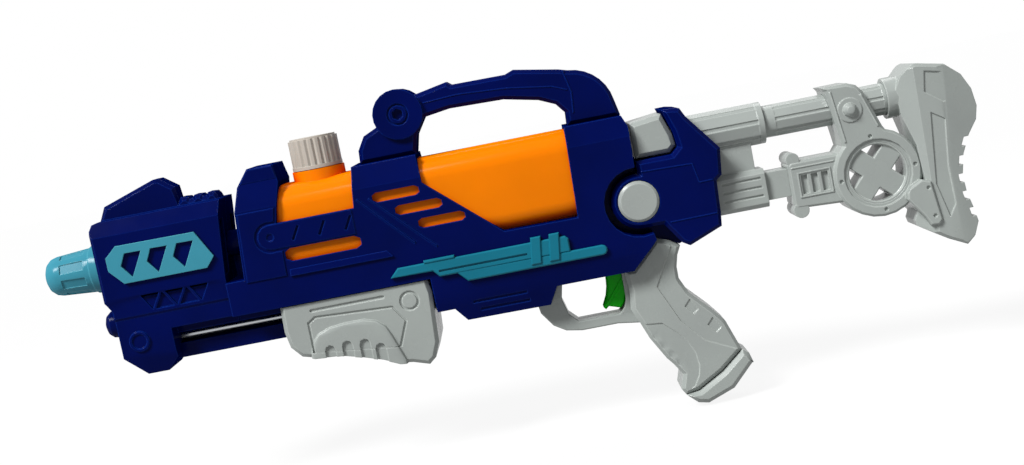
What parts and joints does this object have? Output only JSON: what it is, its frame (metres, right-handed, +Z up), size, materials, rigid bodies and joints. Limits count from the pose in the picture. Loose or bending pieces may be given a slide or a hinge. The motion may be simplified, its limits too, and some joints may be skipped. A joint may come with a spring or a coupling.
{
  "type": "water squirter",
  "caption": "Toy pump-action water squirter with a side tank, screw cap, sliding pump grip, sprung trigger valve, carry handle and shoulder stock.",
  "frame": {"origin": "the middle of the pistol grip, where the hand closes round it", "axes": "+X runs from the nozzle to the butt along the barrel, +Z is up, and the two sides face -Y and +Y"},
  "size_m": [0.6457, 0.0694, 0.252],
  "materials": {
    "navy": "moulded, satin gloss",
    "orange": "translucent moulded plastic",
    "teal": "satin moulded plastic",
    "grey": "fine grain",
    "white": "natural moulded plastic",
    "green": "moulded plastic",
    "steel": "bright",
    "rubber": "soft",
    "clear": "natural tube"
  },
  "bodies": {
    "casing": {"body_shell_left": "navy", "body_shell_right": "navy", "muzzle_shroud_left": "navy", "muzzle_shroud_right": "navy", "front_knob": "navy", "nozzle_seat": "navy", "barrel_tube": "navy", "pump_rail": "navy", "carry_handle_left": "navy", "carry_handle_right": "navy", "stock_mount_left": "navy", "stock_mount_right": "navy", "tank": "orange", "accent_plate_left": "teal", "accent_plate_right": "teal", "side_rods_left": "teal", "side_rods_right": "teal", "pistol_grip_left": "grey", "pistol_grip_right": "grey", "grip_base_cap": "grey", "stock_core": "grey", "stock_brace_left": "grey", "stock_brace_right": "grey", "ring_cross": "grey", "stock_tube": "grey", "stock_bar": "grey", "butt_pad": "grey", "cylinder_plug": "white", "valve_body": "white", "guide_rod": "steel", "trigger_pin": "steel", "valve_spring": "steel", "stock_pin": "steel", "button_spring_left": "steel", "button_spring_right": "steel", "outlet_hose": "clear", "pump_cylinder": "clear", "inlet_tube": "clear"},
    "pump": {"pump_grip_left": "grey", "pump_grip_right": "grey", "grip_carriage": "white", "plunger_tube": "clear", "piston": "white", "piston_seal": "rubber"},
    "trigger_lever": {"trigger": "green"},
    "valve_stem": {"valve_plunger": "clear"},
    "cap_lifter": {"cap_seal": "rubber"},
    "filler_cap": {"tank_cap": "white"},
    "nozzle_ring": {"nozzle": "teal"},
    "left_button": {"button_left": "grey"},
    "right_button": {"button_right": "grey"}
  },
  "joints": [
    {"name": "pump_slide", "type": "slide", "parent": "casing", "child": "pump", "axis": [-1, 0, 0], "range_m": [0, 0.062]},
    {"name": "trigger_pull", "type": "hinge", "parent": "casing", "child": "trigger_lever", "pos_m": [-0.046, 0, 0.057], "axis": [0, -1, 0], "range_deg": [0, 11], "stiffness_Nm_per_rad": 0.8, "springref_deg": -8.59},
    {"name": "valve_push", "type": "slide", "parent": "casing", "child": "valve_stem", "axis": [-1, 0, 0], "range_m": [0, 0.0037], "deforming": ["valve_spring"]},
    {"name": "cap_lift", "type": "slide", "parent": "casing", "child": "cap_lifter", "axis": [0, 0, 1], "range_m": [0, 0.018]},
    {"name": "cap_turn", "type": "hinge", "parent": "cap_lifter", "child": "filler_cap", "pos_m": [-0.234, 0, 0.165], "axis": [0, 0, 1], "range_deg": [0, 540]},
    {"name": "nozzle_turn", "type": "hinge", "parent": "casing", "child": "nozzle_ring", "pos_m": [-0.412, 0, 0.115], "axis": [1, 0, 0], "range_deg": [0, 180]},
    {"name": "left_button_press", "type": "slide", "parent": "casing", "child": "left_button", "axis": [0, 1, 0], "range_m": [0, 0.0025], "stiffness_N_per_m": 900, "springref_m": -0.002, "deforming": ["button_spring_left"]},
    {"name": "right_button_press", "type": "slide", "parent": "casing", "child": "right_button", "axis": [0, -1, 0], "range_m": [0, 0.0025], "stiffness_N_per_m": 900, "springref_m": -0.002, "deforming": ["button_spring_right"]}
  ],
  "couplings": [
    {"joint": "valve_push", "follows": "trigger_pull", "m_per_rad": 0.0185},
    {"joint": "cap_turn", "follows": "cap_lift", "rad_per_m": 523.5}
  ]
}
